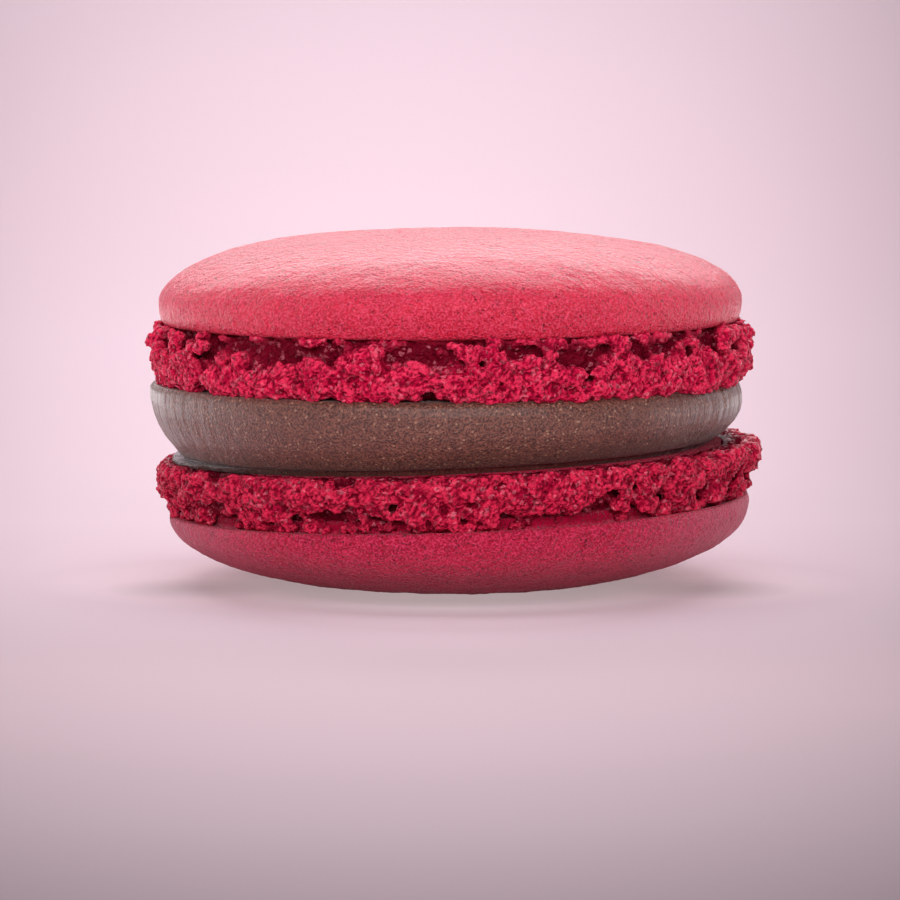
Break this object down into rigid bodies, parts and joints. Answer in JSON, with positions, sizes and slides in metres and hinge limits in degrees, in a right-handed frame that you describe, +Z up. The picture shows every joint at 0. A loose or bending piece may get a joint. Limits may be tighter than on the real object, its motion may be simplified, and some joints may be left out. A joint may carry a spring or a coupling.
{
  "type": "french macaron",
  "caption": "Round sandwich biscuit of domed almond meringue shells with ruffled feet, joined by a thick layer of chocolate ganache.",
  "frame": {"origin": "middle of the base, on the surface that the macaron rests on", "axes": "+Z up through the stack, +X to the right as pictured, +Y away from the viewer"},
  "size_m": [0.0446, 0.045, 0.026],
  "materials": {
    "meringue_top": "baked almond meringue, satin skin over a torn crumb foot, raspberry red",
    "meringue_bottom": "baked almond meringue, satin skin over a torn crumb foot, deeper raspberry red",
    "ganache": "chocolate ganache, satin milk-chocolate brown with a wet bead at its lower edge"
  },
  "bodies": {
    "root": {"bottom_shell": "meringue_bottom", "ganache": "ganache", "top_shell": "meringue_top"}
  },
  "joints": []
}
